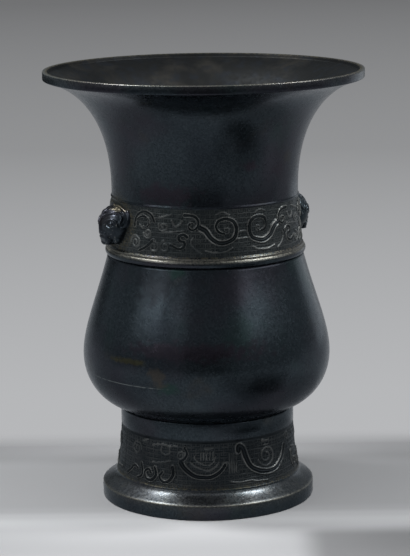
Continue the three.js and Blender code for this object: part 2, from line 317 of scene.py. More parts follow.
def attribute(tree, name):
    """A share that the mesh stores at its vertices."""
    return shader_node(tree, "ShaderNodeAttribute", attribute_name=name).outputs["Fac"]


def bump(tree, texture, strength, distance):
    """Raises the surface where a texture is light."""
    node = shader_node(tree, "ShaderNodeBump", Strength=strength, Distance=distance)
    tree.links.new(texture.outputs["Fac"], node.inputs["Height"])
    return node


def patinated(name, seed, band_skin, rub=1.0, stains_and_painted_light=(), crests=0.0):
    """The castings' finish: the colour of its band, how far its strokes are rubbed light, spots of (place,
    size, tilt, colour) that are stains or painted light, and a share of wear and painted highlight on every
    crest and of dirt and painted shade in every crease."""
    material = bpy.data.materials.new(name)
    material.use_nodes = True
    tree = material.node_tree
    shader = tree.nodes["Principled BSDF"]
    coords = shader_node(tree, "ShaderNodeTexCoord").outputs["Object"]
    fine = noise_clouds(tree, coords, 900, 0.4, 0.62, 4, seed + 2)
    patchy = noise_clouds(tree, coords, 60, 0.3, 0.62, 4, seed + 11)
    specks = noise_clouds(tree, coords, 700, 0.42, 0.6, 4, seed + 17)

    colour = tint(tree, skin, light_skin, fine, 0.6)
    for scale, low, high, offset, share, cloud_skin in skin_clouds:
        cloud = noise_clouds(tree, coords, scale, low, high, 6, seed + offset)
        colour = tint(tree, colour, cloud_skin, cloud, share)
    for middle, size, tilt, spot_colour in stains_and_painted_light:
        colour = tint(tree, colour, spot_colour, stain_or_painted_light(tree, coords, middle, size, tilt))

    inside = attribute(tree, "inside")
    bloom = noise_clouds(tree, coords, 45, 0.48, 0.74, 9, seed + 13)
    grime = noise_clouds(tree, coords, 130, 0.46, 0.7, 5, seed + 15)
    inside_colour = tint(tree, tint(tree, inside_skin, inside_bloom, bloom), black_dirt_and_shade, grime)
    colour = tint(tree, colour, inside_colour, inside)

    polish = attribute(tree, "polish")
    colour = tint(tree, colour, polished_skin, polish, mapped(tree, fine, 0, 1, 0.35, 0.9))
    # Rib, arris and lip edges are painted lighter: partly wear, partly painted highlight lines.
    wear_and_highlight = arithmetic(tree, "MULTIPLY", attribute(tree, "wear_and_highlight"), mapped(tree, fine, 0, 1, 0.4, 0.9))
    colour = tint(tree, colour, ridge_wear_and_highlight, wear_and_highlight)

    band = attribute(tree, "band")
    tone = attribute(tree, "tone")
    colour = tint(tree, colour, band_skin, band, 0.8)
    # Stroke rims are painted light, as rubbed metal and painted highlight in one. Grooves and the ground just
    # outside the strokes are painted dark, as dirt and painted shade in one.
    rubbed = mapped(tree, patchy, 0, 1, 0.25 * rub, rub)
    light = arithmetic(tree, "MULTIPLY", mapped(tree, tone, 0.1, 1), rubbed)
    colour = tint(tree, colour, rubbed_bronze_and_highlight, light)
    colour = tint(tree, colour, black_dirt_and_shade, mapped(tree, tone, 0, -1), 0.96)

    # Convex crests are painted lighter, as wear and painted highlight together. Creases are painted darker,
    # as dirt and painted shade that stands in for occlusion.
    curvature = shader_node(tree, "ShaderNodeNewGeometry").outputs["Pointiness"]
    crest = arithmetic(tree, "MULTIPLY", mapped(tree, curvature, 0.53, 0.6), crests)
    colour = tint(tree, colour, rubbed_bronze_and_highlight, crest, patchy)
    colour = tint(tree, colour, black_dirt_and_shade, mapped(tree, curvature, 0.492, 0.44), crests)
    dirt = arithmetic(tree, "MULTIPLY", attribute(tree, "dirt"), arithmetic(tree, "MULTIPLY", specks, 0.75))
    colour = tint(tree, colour, ochre_dirt, dirt)
    tree.links.new(colour, shader.inputs["Base Color"])

    rough = mapped(tree, noise_clouds(tree, coords, 420, 0.3, 0.7, 5, seed + 5), 0, 1, 0.17, 0.29)
    for share, dullness in (
            (band, 0.2), (inside, 0.35), (dirt, 0.3), (wear_and_highlight, 0.2), (light, 0.2), (polish, 0.05)):
        rough = arithmetic(tree, "MULTIPLY_ADD", share, dullness, rough)
    rough = arithmetic(tree, "ADD", rough, 0.12 * crests)
    tree.links.new(rough, shader.inputs["Roughness"])
    shader.inputs["Metallic"].default_value = 0.8
    shader.inputs["Specular Tint"].default_value = (0.72, 0.76, 0.8, 1)

    grain = vector_node(tree, "ShaderNodeTexNoise", coords, Scale=900, Detail=5, Roughness=0.65)
    swell = vector_node(tree, "ShaderNodeTexNoise", coords, Scale=70, Detail=2)
    fine_bump = bump(tree, grain, 0.22, 0.2 * mm)
    broad_bump = bump(tree, swell, 0.25, 0.5 * mm)
    tree.links.new(fine_bump.outputs["Normal"], broad_bump.inputs["Normal"])
    tree.links.new(broad_bump.outputs["Normal"], shader.inputs["Normal"])
    return material


# Foot
# A casting of its own: a flat ring that stands on the table, a hollowed shoulder, a band of relief and a
# plain collar. It was chased after casting. The collar laps over the body's lower spigot.
foot_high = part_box("foot")[1]
ring_radius = foot_high.x
ring_top = 9.5 * mm
foot_band_bottom = 17.1 * mm
foot_band_top = 49.2 * mm
foot_top = foot_high.z
foot_band_low_radius = 60.2 * mm
foot_band_high_radius = 56.6 * mm
foot_bore = 52.6 * mm
plate_seat_radius = 60 * mm
plate_seat_height = 12.1 * mm
wall = 4 * mm
edge_softness = 0.8 * mm
corner_angle = radians(38)
around = 240
relief_cuts = 3
skin_depth = 0.7 * mm
foot_band_skin = (0.0125, 0.016, 0.0185)


def curve(start, start_handle, end_handle, end, steps):
    """Points of [radius, height] along a cubic curve, without its first one."""
    points = interpolate_bezier(*(Vector((*p, 0)) for p in (start, start_handle, end_handle, end)), steps + 1)
    return [(p.x, p.y) for p in points[1:]]


def bend(start, handle, end, steps):
    """The same along a curve with one handle."""
    start_handle = [a + (b - a) * 2 / 3 for a, b in zip(start, handle)]
    end_handle = [a + (b - a) * 2 / 3 for a, b in zip(end, handle)]
    return curve(start, start_handle, end_handle, end, steps)


def radius_at(outline, height):
    """The radius of a rising outline at a height."""
    for (r0, z0), (r1, z1) in zip(outline, outline[1:]):
        if z0 <= height <= z1 and z1 > z0:
            return r0 + (r1 - r0) * (height - z0) / (z1 - z0)
    return outline[0][0] if height < outline[0][1] else outline[-1][0]


def turned_shell(outline):
    """A closed outline of [radius, height] spun round the vase's axis."""
    shell = bmesh.new()
    verts = [shell.verts.new((radius, 0, height)) for radius, height in outline]
    edges = [shell.edges.new((a, b)) for a, b in zip(verts, verts[1:] + verts[:1])]
    bmesh.ops.spin(shell, geom=verts + edges, cent=(0, 0, 0), axis=(0, 0, 1), angle=2 * pi, steps=around,
                   use_merge=True)
    bmesh.ops.remove_doubles(shell, verts=shell.verts, dist=1e-6)
    bmesh.ops.recalc_face_normals(shell, faces=shell.faces)
    return shell


def soften_corners(shell, softness, lowest=0):
    """Rounds the turned corners above a height, as filing and handling do."""
    corners = [e for e in shell.edges if e.verts[0].co.z >= lowest and len(e.link_faces) == 2
               and e.calc_face_angle() > corner_angle]
    bmesh.ops.bevel(shell, geom=corners, offset=softness, offset_type="OFFSET", segments=3, profile=0.5,
                    affect="EDGES", material=-1)


def refine_band(shell, bottom, top, outline):
    """Divides the outer faces between two heights finely enough to carry relief."""
    faces = []
    for face in shell.faces:
        middle = face.calc_center_median()
        if bottom < middle.z < top and middle.xy.length > radius_at(outline, middle.z) - skin_depth:
            faces.append(face)
    edges = {e for face in faces for e in face.edges}
    bmesh.ops.subdivide_edges(shell, edges=list(edges), cuts=relief_cuts, use_grid_fill=True)


def finished(name, shell, material, replaced):
    """The mesh as a piece of the vase that stands for one CAD node."""
    data = bpy.data.meshes.new(name)
    shell.to_mesh(data)
    shell.free()
    data.shade_smooth()
    data.materials.append(material)
    piece = bpy.data.objects.new(name, data)
    bpy.context.collection.objects.link(piece)
    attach(piece, "root")
    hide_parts(replaced)


# Chased strokes are drawn in degrees from the middle of the front and millimetres over the band's lower edge.
# The back of the vase repeats them. Their widths and heights are in millimetres too.
sample_gap = 0.2
scroll_cell = 3
scroll_line = 0.75
squared_spiral = [(-1, -1), (1, -1), (1, 1), (-1, 1), (-1, -0.3), (0.35, -0.3), (0.35, 0.35), (-0.3, 0.35)]
band_sunk = 0.5
band_fade = 0.7 * mm
sway_reach = 0.35
sway_scale = 200
sway_seed = 1
wear_scale = 45
noise.seed_set(sway_seed)

# A stroke's section and its tone are knots of (share of its half width, value). The tone runs from -1 for
# dirt and painted shade to 1 for rubbed metal and painted highlight.
ribbon_section = [(0, 0.8), (0.2, 0.75), (0.4, 0.25), (0.5, 0.25), (0.7, 1), (0.84, 0.95), (1.14, 0),
                  (1.25, -0.1), (1.45, 0)]
ribbon_tones = [(0, 0.3), (0.1, 0), (0.25, -1), (0.52, -1), (0.66, 0.9), (0.94, 1), (1.06, -1), (1.6, -0.95),
                (2, 0)]
line_section = [(0, 1), (0.6, 0.9), (1.05, 0), (1.4, -0.12), (1.9, 0)]
line_tones = [(0, 0.4), (0.8, 0.6), (1, -0.6), (1.15, -1), (2.2, -0.95), (3, 0)]
ground_section = [(0, 1), (0.7, 0.8), (1.1, 0)]
ground_tones = [(0, 0.3), (0.7, 0.2), (1.1, -0.55), (1.6, -0.45), (2, -0.2)]


def smooth_line(knots, gap):
    """Samples at about one gap from each other along a smooth line through its knots."""
    samples = []
    for i, (here, there) in enumerate(zip(knots, knots[1:])):
        before = knots[max(i - 1, 0)]
        after = knots[min(i + 2, len(knots) - 1)]
        handles = (here + (there - before) / 6, there - (after - here) / 6)
        steps = max(2, round((there - here).length / gap))
        samples += interpolate_bezier(here, *handles, there, steps + 1)
    return samples


def degrees_along(band_radius, along):
    """Turns millimetres along a band into degrees round the vase."""
    return degrees(along * mm / band_radius)


def scroll(band_radius, middle, start_turn, outer, inner, turns):
    """A spiral that winds inwards, its radii in millimetres and its turns positive when anticlockwise."""
    count = max(6, round(abs(turns) * 10))
    points = []
    for i in range(count + 1):
        share = i / count
        angle = radians(start_turn) + 2 * pi * turns * share
        reach = outer + (inner - outer) * share
        across = degrees_along(band_radius, reach * cos(angle))
        points.append((middle[0] + across, middle[1] + reach * sin(angle)))
    return points


def square_scrolls(band_radius, start, end, tall):
    """The ground of small squared spirals, row over row, each one turned against its neighbour."""
    reach = scroll_cell * 0.42
    strokes = []
    for row in range(int(tall / scroll_cell)):
        for column in range(int(start / scroll_cell), int(end / scroll_cell) + 1):
            side = reach if (row + column) % 2 else -reach
            x = (column + 0.5) * scroll_cell
            y = (row + 0.5) * scroll_cell
            points = [(degrees_along(band_radius, x + side * a), y + reach * b) for a, b in squared_spiral]
            strokes += [(pair, scroll_line, scroll_line) for pair in zip(points, points[1:])]
    return strokes


def between(knots, share):
    """The value at a share, on straight lines from knot to knot."""
    for (s0, v0), (s1, v1) in zip(knots, knots[1:]):
        if share <= s1:
            return v0 + (v1 - v0) * max(0, share - s0) / (s1 - s0)
    return knots[-1][1]


class Relief:
    """Strokes of one kind, each of (points, width at its start, width at its end)."""

    def __init__(self, strokes, band_radius, height, section, tones):
        samples = []
        for points, start_width, end_width in strokes:
            knots = [Vector((radians(turn) * band_radius / mm, rise, 0)) for turn, rise in points]
            line = smooth_line(knots, sample_gap)
            widening = (end_width - start_width) / len(line)
            samples += [(p, start_width + widening * i) for i, p in enumerate(line)]
        self.widths = [width for _, width in samples]
        self.height = height
        self.section = section
        self.tones = tones
        self.tree = kdtree.KDTree(len(samples))
        for i, (p, _) in enumerate(samples):
            self.tree.insert(p, i)
        self.tree.balance()

    def at(self, along, up):
        """The share of the nearest stroke's half width, and the rise and the tone there."""
        _, nearest, distance = self.tree.find((along, up, 0))
        share = distance / (self.widths[nearest] / 2)
        return share, self.height * between(self.section, share), between(self.tones, share)


def chase_band(shell, bottom, top, outline, band_radius, reliefs, mirrored):
    """Lowers the band and raises its strokes. The first kind that covers a place gives its tone of painted
    light and dark, which stays on the mesh for the finish. The hand strays a little, and the crests are worn
    here and there."""
    tone_layer = shell.verts.layers.float.new("tone")
    band_layer = shell.verts.layers.float.new("band")
    for vert in shell.verts:
        x, y, z = vert.co
        radius = hypot(x, y)
        plain = radius_at(outline, z)
        if not (bottom < z < top) or radius < plain - skin_depth:
            continue
        turn = (degrees(atan2(x, -y)) + 90) % 180 - 90
        along = radians(abs(turn) if mirrored else turn) * band_radius / mm
        up = (z - bottom) / mm
        sway = noise.noise_vector(vert.co * sway_scale) * sway_reach
        wear = min(1, 0.88 + 0.35 * noise.noise(vert.co * wear_scale))
        found = [relief.at(along + sway.x, up + sway.y) for relief in reliefs]
        rise = max(rise for _, rise, _ in found)
        covering = [tone for share, _, tone in found if share < 1]
        tone = covering[0] if covering else min(tone for _, _, tone in found)
        margin = min(1, (z - bottom) / band_fade, (top - z) / band_fade)
        reach = plain + (rise * wear - band_sunk) * margin * mm
        vert.co.x, vert.co.y = x / radius * reach, y / radius * reach
        vert[tone_layer] = tone * margin
        vert[band_layer] = margin


def paint(shell, name, share):
    """Stores how much of a finish each vertex has, from a function of its place."""
    layer = shell.verts.layers.float.new(name)
    for vert in shell.verts:
        vert[layer] = max(0, min(1, share(vert.co)))


foot_band_outline = [(foot_band_low_radius, foot_band_bottom)] + bend(
    (foot_band_low_radius, foot_band_bottom),
    (foot_band_high_radius + 1 * mm, foot_band_bottom + (foot_band_top - foot_band_bottom) / 4),
    (foot_band_high_radius, foot_band_top), 20)
foot_shoulder = bend((ring_radius, ring_top), (foot_band_low_radius - 1 * mm, foot_band_bottom - 1.8 * mm),
                     (foot_band_low_radius, foot_band_bottom), 10)
foot_inside = [(r - wall, z) for r, z in foot_band_outline if z > plate_seat_height + 6 * mm]
foot_shell = turned_shell([
    (plate_seat_radius, 0),
    (ring_radius, 0),
    (ring_radius, ring_top * 0.5),
    (ring_radius, ring_top),
    *foot_shoulder[:-1],
    *foot_band_outline,
    (foot_band_high_radius, foot_top - 5 * mm),
    (foot_band_high_radius, foot_top),
    (foot_bore, foot_top),
    *reversed(foot_inside),
    (foot_band_low_radius - wall, plate_seat_height),
    (plate_seat_radius, plate_seat_height),
])
soften_corners(foot_shell, edge_softness)
refine_band(foot_shell, foot_band_bottom, foot_band_top, foot_band_outline)

foot_stroke_radius = 57.5 * mm
foot_ribbon_height = 1.3
foot_line_height = 0.9
ground_height = 0.45
foot_ribbons = [
    ([(-2.5, 24.5), (-2, 27.3), (0.7, 25.5), (2.5, 20), (5.7, 14), (10.7, 10.2), (17.7, 8.2), (24.7, 8.6),
      (30.7, 12), (34.7, 17), (36.5, 21.5)], 4.8, 3.4),
    ([(-40.3, 18), (-36.3, 13), (-31.3, 9.6), (-25.3, 8.4), (-19.3, 9), (-14.3, 12), (-11.3, 16)], 4.6, 2.8),
    ([(-37.3, 27), (-35.8, 23.4), (-37.3, 19.9), (-40.3, 18)], 2.2, 2.4),
    ([(-45.3, 14), (-44.8, 9), (-47.3, 5), (-51.8, 4.2), (-54.3, 7.2), (-52, 10)], 3.2, 2),
    ([(-57.8, 12), (-56.8, 7.5), (-59.8, 4), (-64.3, 4.4), (-65.8, 8.4), (-62.8, 10.6), (-60.8, 8.4)],
     2.8, 1.8),
    ([(-69.8, 13), (-68, 9), (-69, 5), (-72.3, 3.4)], 2.6, 2),
    ([(-84.3, 3.9), (-80.3, 6.9), (-76.3, 10.4), (-72.3, 9.4)], 2.6, 1.8),
    ([(46.3, 15), (46.8, 10), (48.3, 6), (51.3, 4.7), (53.8, 7), (52, 9.4)], 3, 1.8),
    (scroll(foot_stroke_radius, (62.3, 6), 120, 4.6, 1.2, 1.25), 2.4, 1.6),
    ([(69.8, 11), (72, 6.5), (78, 4.4), (86, 5.5)], 2.4, 1.8),
]
foot_lines = [
    ([(-33.3, 18), (-29.3, 14.9), (-22.3, 12.9), (-18.3, 14.4), (-15.3, 18)], 1.5, 1.3),
    ([(-31, 22), (-29, 18.5), (-22.3, 16), (-18.5, 18.5), (-17.5, 21.5)], 1.1, 1),
    (scroll(foot_stroke_radius, (18.7, 18.6), 200, 7.4, 1.6, 1.7), 1.6, 1.3),
    ([(15.7, 28.6), (20.7, 28.2)], 1.6, 1.6),
    ([(16.5, 25.6), (20.2, 25.6)], 1.3, 1.3),
    ([(-12.6, 17.2), (-8.8, 17.2)], 1.5, 1.5),
    ([(-24.3, 27), (-19.3, 27)], 1.6, 1.6),
    ([(-60.3, 26.6), (-54, 27.8), (-48, 27.4), (-42.3, 27.6)], 1.6, 1.3),
    ([(-69, 28), (-65, 29.5)], 1.8, 1.4),
    ([(-53.6, 26), (-53.6, 23.4), (-50.8, 21.2), (-47.8, 22.9), (-47.6, 26)], 1.6, 1.6),
    (scroll(foot_stroke_radius, (-39.8, 21.6), 20, 3, 0.7, 1.4), 1.5, 1.1),
    ([(-60.3, 15.4), (-52.3, 16.4), (-46.3, 17.9)], 1.3, 1.1),
    (scroll(foot_stroke_radius, (-75, 22), 0, 5, 1, 1.6), 1.5, 1.2),
    (scroll(foot_stroke_radius, (41, 26.5), 200, 3, 0.8, -1.3), 1.4, 1),
    (scroll(foot_stroke_radius, (75, 21), 180, 5.4, 1, -1.6), 1.5, 1.2),
    ([(50, 27.4), (56, 27.8), (62, 26.4)], 1.5, 1.3),
    ([(48, 18), (54, 16.5), (62, 15.6)], 1.3, 1.1),
    ([(-8, 5), (-2, 4), (5, 4.6), (10, 3.4), (18, 2.8)], 1.2, 1),
]
foot_lines += [([(x, 11), (x, 23)], 1, 1) for x in (-8.3, -6.8, -5.3, -3.8)]
foot_lines += [([(x, 19.5), (x, 24.5)], 0.9, 0.9) for x in (-27, -25, -23, -21, -19)]
foot_ground = square_scrolls(foot_stroke_radius, start=-91, end=91, tall=31)
foot_reliefs = [
    Relief(foot_ribbons, foot_stroke_radius, foot_ribbon_height, ribbon_section, ribbon_tones),
    Relief(foot_lines, foot_stroke_radius, foot_line_height, line_section, line_tones),
    Relief(foot_ground, foot_stroke_radius, ground_height, ground_section, ground_tones),
]
chase_band(foot_shell, foot_band_bottom, foot_band_top, foot_band_outline, foot_stroke_radius, foot_reliefs,
           mirrored=False)


def foot_polish(place):
    """Hands and cloths have kept the shoulder bright."""
    fade = 1.5 * mm
    return min(foot_band_bottom - place.z, place.z - ring_top + fade) / fade


def foot_dirt(place):
    """Wax and dirt lie along the lower edge of the band."""
    above = place.z - foot_band_bottom
    line = 1 - abs(above - 0.5 * mm) / (0.8 * mm)
    film = 0.5 - above / (7 * mm) if above > 0 else 0
    return max(line, film + 0.3 * noise.noise(place * 160))


def foot_arris_wear_and_highlight(place):
    """The arris over the ring is rubbed to the metal, and painted lighter as a highlight line."""
    off_arris = hypot(place.xy.length - ring_radius + 0.4 * mm, place.z - ring_top + 0.2 * mm)
    return 1.1 - off_arris / (0.7 * mm)


paint(foot_shell, "polish", foot_polish)
paint(foot_shell, "dirt", foot_dirt)
paint(foot_shell, "wear_and_highlight", foot_arris_wear_and_highlight)
foot_patina = patinated("foot_patina", 1, foot_band_skin, rub=0.7)
finished("cast_foot", foot_shell, foot_patina, "foot")


# Body
# The belly is one hollow bronze casting. A spigot at each end enters the foot and the neck, and is soldered
# there. Its smooth skin was scraped and waxed.
body_low, body_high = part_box("body")
belly_radius = body_high.x
belly_neck_radius = 56.2 * mm
belly_top_radius = 63.4 * mm
belly_start = 61.7 * mm
belly_middle = 95.5 * mm
belly_end = 161.3 * mm
clearance = 0.3 * mm
body_seat = foot_top + clearance
foot_spigot = (48.1 * mm, 52.3 * mm)
neck_spigot = (56.5 * mm, 60.7 * mm)
highlight_dimming_skin = (0.017, 0.021, 0.026)
olive_wax = (0.041, 0.04, 0.025)
rust_stain = (0.041, 0.0385, 0.035)
scratched_metal = (0.13, 0.145, 0.145)


def inset(outline, thickness):
    """The same outline moved towards the axis."""
    moved = []
    for i, (radius, height) in enumerate(outline):
        r0, z0 = outline[max(i - 1, 0)]
        r1, z1 = outline[min(i + 1, len(outline) - 1)]
        length = hypot(r1 - r0, z1 - z0)
        moved.append((radius - (z1 - z0) / length * thickness, height + (r1 - r0) / length * thickness))
    return moved


swelling = belly_radius - belly_neck_radius
drawing_in = belly_radius - belly_top_radius
lower_rise = belly_middle - belly_start
upper_rise = belly_end - belly_middle
under_belly = curve(
    (belly_neck_radius, belly_start), (belly_neck_radius + 0.31 * swelling, belly_start + 0.5 * mm),
    (belly_radius, belly_start + 0.33 * lower_rise), (belly_radius, belly_middle), 40)
upper_belly = curve(
    (belly_radius, belly_middle), (belly_radius, belly_middle + 0.26 * upper_rise),
    (belly_top_radius + 0.41 * drawing_in, belly_end - 0.42 * upper_rise), (belly_top_radius, belly_end), 48)
belly_outline = [(belly_neck_radius, belly_start)] + under_belly + upper_belly
belly_inside = [p for p in inset(belly_outline, wall) if p[0] > foot_spigot[0]][1:-1]
body_shell = turned_shell([
    (foot_spigot[0], body_low.z),
    (foot_spigot[1], body_low.z),
    (foot_spigot[1], body_seat),
    (belly_neck_radius, body_seat),
    *belly_outline,
    (neck_spigot[1], belly_end),
    (neck_spigot[1], body_high.z),
    (neck_spigot[0], body_high.z),
    *reversed(belly_inside),
    (foot_spigot[0], belly_start + wall),
])
body_stains_and_painted_shade = [
    ((-8, -76, 111), (66, 34, 8), 0, plum_skin),
    # This darker patch on the upper left of the belly is painted shade that dims the highlight there.
    ((-31, -60, 150), (20, 22, 16), 0, highlight_dimming_skin),
    ((-50, -62, 103), (19, 20, 2.8), 0, olive_wax),
    ((-24, -76, 88), (11, 8, 5), -12, green_skin),
    ((-18, -61, 158), (8, 6, 4), 0, green_skin),
    ((-31, -74, 94.5), (7, 8, 9), -25, rust_stain),
    ((-52, -52, 87.6), (38, 50, 0.38), 0, scratched_metal),
]
body_patina = patinated("body_patina", 21, skin, stains_and_painted_light=body_stains_and_painted_shade)
finished("cast_body", body_shell, body_patina, "body")


# Mouth and neck
# The top casting: a double rib where it laps over the body, a tapering band of relief, and a wide flare to
# the lip. Its mouth is dull inside, and its upper rib and its lip are rubbed bright, with painted highlight
# lines over the wear.
neck_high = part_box("mouth_and_neck")[1]
lip_radius = neck_high.x
lip_top = neck_high.z
rib_bottom = 161.6 * mm
rib_middle = 166.3 * mm
neck_band_bottom = 168.1 * mm
neck_band_top = 198.7 * mm
flare_start = 203.3 * mm
lip_bottom = 274.5 * mm
lower_rib_radius = 65 * mm
upper_rib_radius = 63.7 * mm
neck_band_low_radius = 62.5 * mm
neck_band_high_radius = 60.5 * mm
neck_band_rows = 20
neck_stroke_radius = 61.5 * mm
neck_ribbon_height = 1.45
neck_line_height = 1
throat_radius = 60.2 * mm
lip_land = 3.2 * mm
lip_softness = 0.6 * mm
socket_radius = 61 * mm
socket_top = 173.1 * mm
neck_band_skin = (0.024, 0.03, 0.031)
dirt_ring_width = 17.5 * mm
dirt_ring_height = 14.5 * mm
dirt_ring_middle = 184.5 * mm
outside_radius = 59 * mm


def half_round(below, above, crest, bottom, top, steps):
    """Points over a rib that stands on the wall."""
    points = []
    for i in range(1, steps + 1):
        angle = -pi / 2 + pi * i / steps
        foot = below if angle < 0 else above
        height = (bottom + top) / 2 + (top - bottom) / 2 * sin(angle)
        points.append((foot + (crest - foot) * cos(angle), height))
    return points


neck_band_outline = [
    (neck_band_low_radius + (neck_band_high_radius - neck_band_low_radius) * i / neck_band_rows,
     neck_band_bottom + (neck_band_top - neck_band_bottom) * i / neck_band_rows)
    for i in range(neck_band_rows + 1)
]
flare_height = lip_bottom - flare_start
flare = [(throat_radius, flare_start)] + curve(
    (throat_radius, flare_start), (throat_radius, flare_start + 0.58 * flare_height),
    (throat_radius + 0.41 * (lip_radius - throat_radius), flare_start + 0.92 * flare_height),
    (lip_radius, lip_bottom), 26)
neck_band_inside = inset([neck_band_outline[0], neck_band_outline[-1]], wall)
lower_rib = half_round(belly_top_radius, belly_top_radius, lower_rib_radius, rib_bottom, rib_middle, 8)
upper_rib = half_round(belly_top_radius, neck_band_low_radius, upper_rib_radius, rib_middle,
                       neck_band_bottom, 5)
neck_shell = turned_shell([
    (belly_top_radius, rib_bottom),
    *lower_rib,
    *upper_rib[:-1],
    *neck_band_outline,
    (neck_band_high_radius + 0.3 * mm, neck_band_top + 0.2 * mm),
    (neck_band_high_radius + 0.3 * mm, neck_band_top + 0.7 * mm),
    (throat_radius, neck_band_top + 1.1 * mm),
    (throat_radius, neck_band_top + 1.6 * mm),
    *flare,
    (lip_radius, lip_bottom + 2 * mm),
    (lip_radius, lip_top),
    (lip_radius - lip_land, lip_top),
    *reversed(inset(flare, wall)[:-1]),
    neck_band_inside[1],
    (radius_at(neck_band_inside, socket_top), socket_top),
    (socket_radius, socket_top),
    (socket_radius, rib_bottom),
])
soften_corners(neck_shell, lip_softness, lip_bottom - 0.1 * mm)
refine_band(neck_shell, neck_band_bottom, neck_band_top, neck_band_outline)

neck_ribbons = [
    ([(26.3, 19.5), (22.3, 17), (18.8, 12.2), (14.8, 9.5), (10.3, 9.5), (5.8, 12), (4, 17), (5.3, 22),
      (9.8, 24.4), (14.6, 23), (16, 19), (14.2, 15.9), (11.3, 15)], 4.8, 1.8),
    ([(34.3, 27), (30.5, 26.8), (27.8, 25.4), (26.2, 22.5), (27, 19), (29.8, 17.6), (32, 19.4),
      (31.2, 21.6), (29.4, 21.5)], 2.6, 1.4),
    ([(32.8, 13.2), (34.8, 14.7), (37.3, 13.9), (37.8, 11.9), (36.3, 10.4), (34.6, 10.2), (34.3, 8),
      (35.5, 6.4), (38.3, 5.8), (42.8, 8)], 2.6, 1.8),
    ([(68.3, 18), (67.3, 23), (64.3, 26.4), (59.3, 27.4), (55.3, 25.4), (53.3, 21.8)], 2.4, 2),
    ([(66.3, 22), (63.3, 24.3), (59.5, 24), (57, 21.5), (58.3, 18.3), (61.5, 17.8)], 1.6, 1.4),
    ([(54.3, 10), (58.3, 6), (64.3, 2.5)], 2.6, 1.8),
]
neck_lines = [
    ([(22.3, 5), (17.3, 3.4), (10.3, 3.8), (6.5, 6)], 1.2, 1.2),
    (scroll(neck_stroke_radius, (10.2, 17.2), 250, 2.2, 0.5, -1.1), 1.1, 0.9),
    ([(0, 16), (2.3, 16)], 1.3, 1.3),
    ([(-0.5, 11.6), (4.6, 11.6)], 1, 1),
    ([(42.3, 23), (40.8, 20.5), (39.3, 20), (37.1, 21), (36.1, 23.5)], 1.8, 1.8),
    ([(50.8, 20), (50.3, 17.3), (48.3, 16.4), (45.8, 17.2), (45.1, 19.5), (47.3, 20.6), (49.3, 19.8),
      (47.3, 18.2)], 1.4, 1.2),
    ([(50.3, 24.5), (47.3, 25.5), (42.3, 27)], 1.6, 1.3),
    ([(48.3, 15.4), (42.3, 16), (34.8, 17)], 1.2, 1),
    ([(64.3, 19), (62, 17)], 1.6, 1.4),
    (scroll(neck_stroke_radius, (54, 6), 90, 3.8, 0.9, 1.4), 1.8, 1.3),
    (scroll(neck_stroke_radius, (46.6, 6.6), 90, 3.6, 0.9, -1.4), 1.8, 1.3),
    (scroll(neck_stroke_radius, (67.5, 7.5), 0, 4.4, 0.9, 1.6), 1.9, 1.3),
    (scroll(neck_stroke_radius, (58.3, 14), 0, 3.3, 0.9, -1.5), 1.7, 1.2),
    ([(8, 26.5), (12, 28.5), (16, 27)], 1.1, 0.9),
    ([(24.5, 3), (28, 5.5), (30.5, 9.5), (29.5, 13)], 1.3, 1),
]
neck_ground = square_scrolls(neck_stroke_radius, start=0, end=98, tall=30)
neck_reliefs = [
    Relief(neck_ribbons, neck_stroke_radius, neck_ribbon_height, ribbon_section, ribbon_tones),
    Relief(neck_lines, neck_stroke_radius, neck_line_height, line_section, line_tones),
    Relief(neck_ground, neck_stroke_radius, ground_height, ground_section, ground_tones),
]
chase_band(neck_shell, neck_band_bottom, neck_band_top, neck_band_outline, neck_stroke_radius, neck_reliefs,
           mirrored=True)


def neck_inside(place):
    """The mouth was left rough inside, from the lip's inner edge down."""
    if place.z < flare_start:
        return 1 if place.xy.length < throat_radius - 1 * mm else 0
    return (radius_at(flare, place.z) - 1.5 * mm - place.xy.length) / (1 * mm)


def neck_dirt(place):
    """Dirt gathers in an oval round each mask, over the lower rib and on the lip."""
    across = abs(abs(atan2(place.x, -place.y)) - pi / 2) * neck_stroke_radius
    reach = hypot(across / dirt_ring_width, (place.z - dirt_ring_middle) / dirt_ring_height)
    round_mask = 1.1 - abs(reach - 1.1) / 0.28 if place.xy.length > outside_radius else 0
    rib = 0.9 - abs(place.z - neck_band_bottom) / (0.9 * mm)
    lip = 0.6 - abs(place.z - lip_top) / (0.7 * mm)
    return max(round_mask, rib, lip)


def neck_wear_and_highlight(place):
    """The upper rib and the lip's outer edge are rubbed bright, and painted lighter as highlight lines."""
    rib = 2 - abs(place.z - rib_middle) / (0.9 * mm)
    lip = 0.65 - hypot(place.xy.length - lip_radius + 0.3 * mm, place.z - lip_top + 0.2 * mm) / (1 * mm)
    return max(0.9 * min(1, rib), lip)


paint(neck_shell, "inside", neck_inside)
paint(neck_shell, "wear_and_highlight", neck_wear_and_highlight)
paint(neck_shell, "dirt", neck_dirt)
neck_stains = [
    ((-24, -54, 207), (30, 22, 9), 0, plum_skin),
    ((28, -55, 225), (7, 8, 5), 0, plum_skin),
    ((47, -39, 221), (8, 8, 6), 0, plum_skin),
]
neck_patina = patinated("neck_patina", 41, neck_band_skin, stains_and_painted_light=neck_stains)
finished("cast_mouth_and_neck", neck_shell, neck_patina, "mouth_and_neck")


